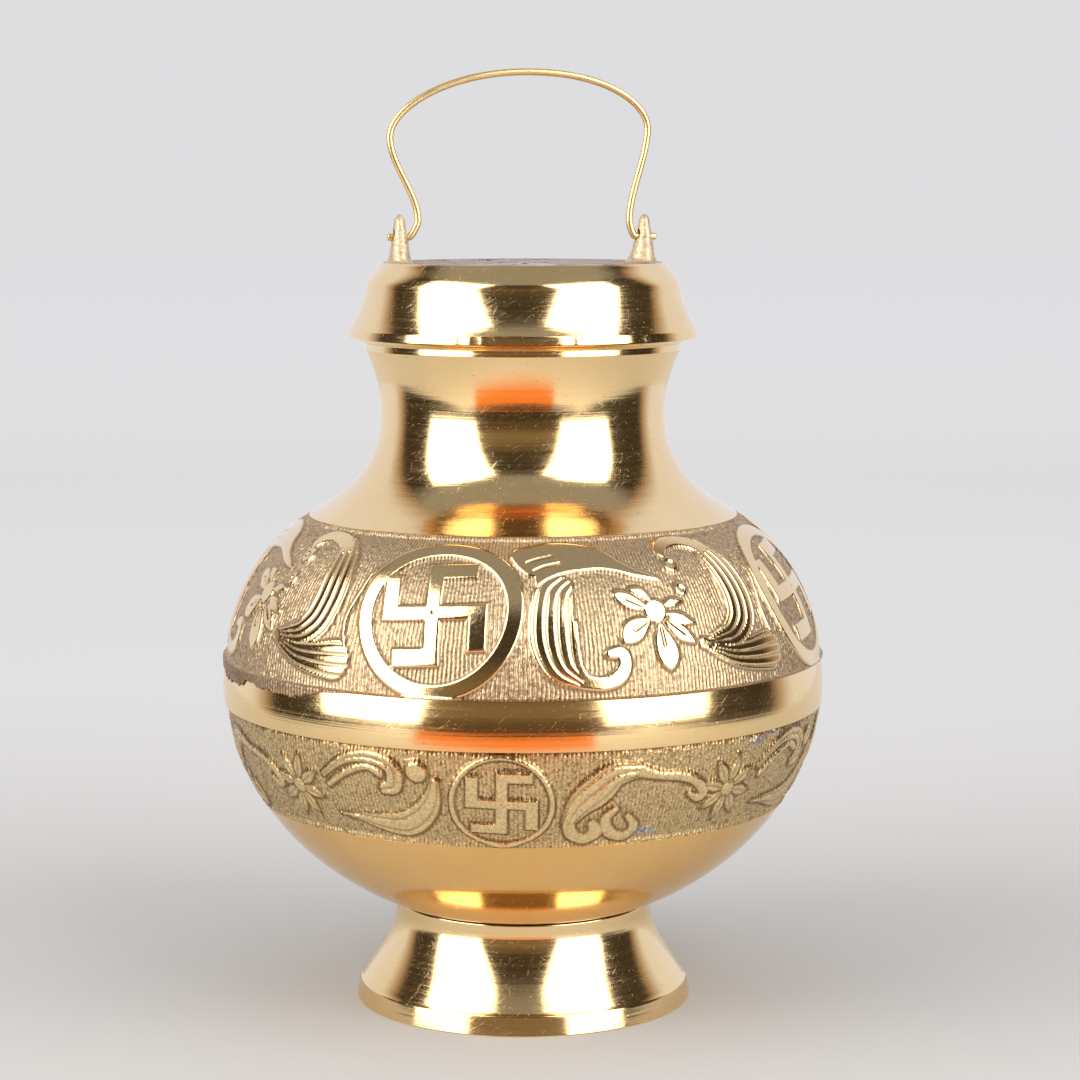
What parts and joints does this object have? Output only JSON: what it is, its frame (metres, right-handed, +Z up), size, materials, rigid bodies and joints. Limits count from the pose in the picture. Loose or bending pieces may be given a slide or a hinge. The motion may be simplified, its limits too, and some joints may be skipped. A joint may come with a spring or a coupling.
{
  "type": "ritual water pot",
  "caption": "Round cast brass holy-water pot on a flared foot, with relief bands, a waisted neck, a screw-on lid and a swinging wire bail for carrying.",
  "frame": {"origin": "Centre of the foot's floor ring, on the floor", "axes": "+Z up along the pot's axis, X along the bail's pivot through both lugs, the pictured front faces -Y"},
  "size_m": [0.1654, 0.1654, 0.2574],
  "materials": {
    "polished_brass": "turned and polished, with fine lathe lines",
    "cast_brass": "sand cast, brushed, with chiselled relief",
    "wire_brass": "drawn wire, hand bent",
    "grey_solder": "dull grey solder",
    "washer_rubber": "matte black rubber"
  },
  "bodies": {
    "pot": {"foot": "polished_brass", "foot_solder_ring": "grey_solder", "lower_bowl": "cast_brass", "belly_solder_ring": "grey_solder", "upper_shell": "polished_brass", "neck_thread_ring": "polished_brass"},
    "washer": {"sealing_washer": "washer_rubber"},
    "lid": {"lid_shell": "polished_brass", "lid_thread_ring": "polished_brass", "left_lug": "cast_brass", "right_lug": "cast_brass"},
    "bail": {"bail": "wire_brass"}
  },
  "joints": [
    {"name": "lid_lift", "type": "slide", "parent": "pot", "child": "washer", "axis": [0, 0, 1], "range_m": [0, 0.015]},
    {"name": "lid_turn", "type": "hinge", "parent": "washer", "child": "lid", "pos_m": [0, 0, 0.19], "axis": [0, 0, 1], "range_deg": [0, 1350]},
    {"name": "bail_swing", "type": "hinge", "parent": "lid", "child": "bail", "pos_m": [0, 0, 0.21063], "axis": [1, 0, 0], "range_deg": [-100, 100]}
  ],
  "couplings": [
    {"joint": "lid_lift", "follows": "lid_turn", "m_per_rad": 0.00063662}
  ]
}
